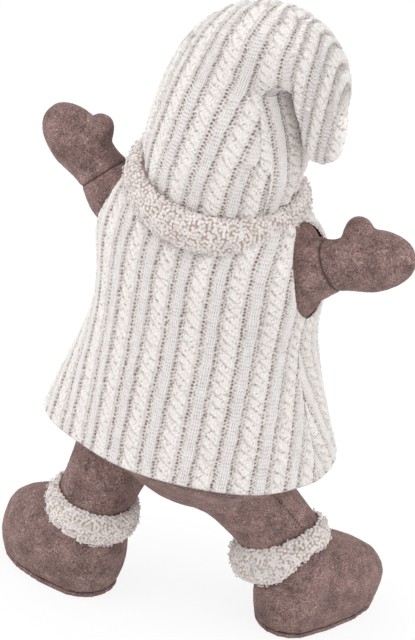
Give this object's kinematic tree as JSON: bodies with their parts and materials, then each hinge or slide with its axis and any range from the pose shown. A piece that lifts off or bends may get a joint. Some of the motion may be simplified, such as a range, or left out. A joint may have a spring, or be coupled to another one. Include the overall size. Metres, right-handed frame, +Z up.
{
  "type": "santa figurine",
  "caption": "Standing plush Santa with a long folded knitted hat, knitted vest, bendable felt arms and legs and weighted boots.",
  "frame": {"origin": "on the floor, under the middle of the figure's bounding box", "axes": "+Z up; the figure faces -Y, its right hand on -X"},
  "size_m": [0.2966, 0.1984, 0.4871],
  "materials": {
    "felt": "heathered brown wool felt, matt",
    "dark_felt": "dark brown felt, matt",
    "knit": "cream cable knit",
    "boucle": "cream looped plush",
    "skin": "soft brushed jersey, matt",
    "bead": "glossy black",
    "wire": "drawn steel",
    "pouch": "unbleached cotton",
    "filling": "loose polyester fibre"
  },
  "bodies": {
    "body": {"torso": "dark_felt", "shoulder_wire": "wire", "trouser_seat": "felt", "hip_wire": "wire", "vest_back": "knit", "vest_front": "knit", "hat": "knit", "hat_stuffing": "filling", "head": "skin", "nose": "skin", "left_eye": "bead", "right_eye": "bead", "moustache": "boucle", "beard": "boucle", "collar": "boucle"},
    "hat_end": {"hat_tip": "knit"},
    "left_arm": {"left_arm": "felt", "left_mitten": "felt", "left_arm_wire": "wire"},
    "right_arm": {"right_arm": "felt", "right_mitten": "felt", "right_arm_wire": "wire"},
    "left_leg": {"left_leg": "felt", "left_leg_wire": "wire", "left_boot": "felt", "left_sole": "dark_felt", "left_boot_weight": "pouch", "left_boot_cuff": "boucle"},
    "right_leg": {"right_leg": "felt", "right_leg_wire": "wire", "right_boot": "felt", "right_sole": "dark_felt", "right_boot_weight": "pouch", "right_boot_cuff": "boucle"}
  },
  "joints": [
    {"name": "left_shoulder", "type": "hinge", "parent": "body", "child": "left_arm", "pos_m": [0.06527, 0.02029, 0.299], "axis": [0, -1, 0], "range_deg": [-45, 10]},
    {"name": "right_shoulder", "type": "hinge", "parent": "body", "child": "right_arm", "pos_m": [-0.06073, 0.02029, 0.299], "axis": [0, 1, 0], "range_deg": [-35, 19]},
    {"name": "left_hip", "type": "hinge", "parent": "body", "child": "left_leg", "pos_m": [0.03966, 0.02029, 0.126], "axis": [-1, 0, 0], "range_deg": [-20, 20]},
    {"name": "right_hip", "type": "hinge", "parent": "body", "child": "right_leg", "pos_m": [-0.04134, 0.02029, 0.126], "axis": [-1, 0, 0], "range_deg": [-20, 20]},
    {"name": "hat_fold", "type": "hinge", "parent": "body", "child": "hat_end", "pos_m": [-0.0716, 0.02029, 0.46226], "axis": [0, 1, 0], "range_deg": [0, 60]}
  ]
}
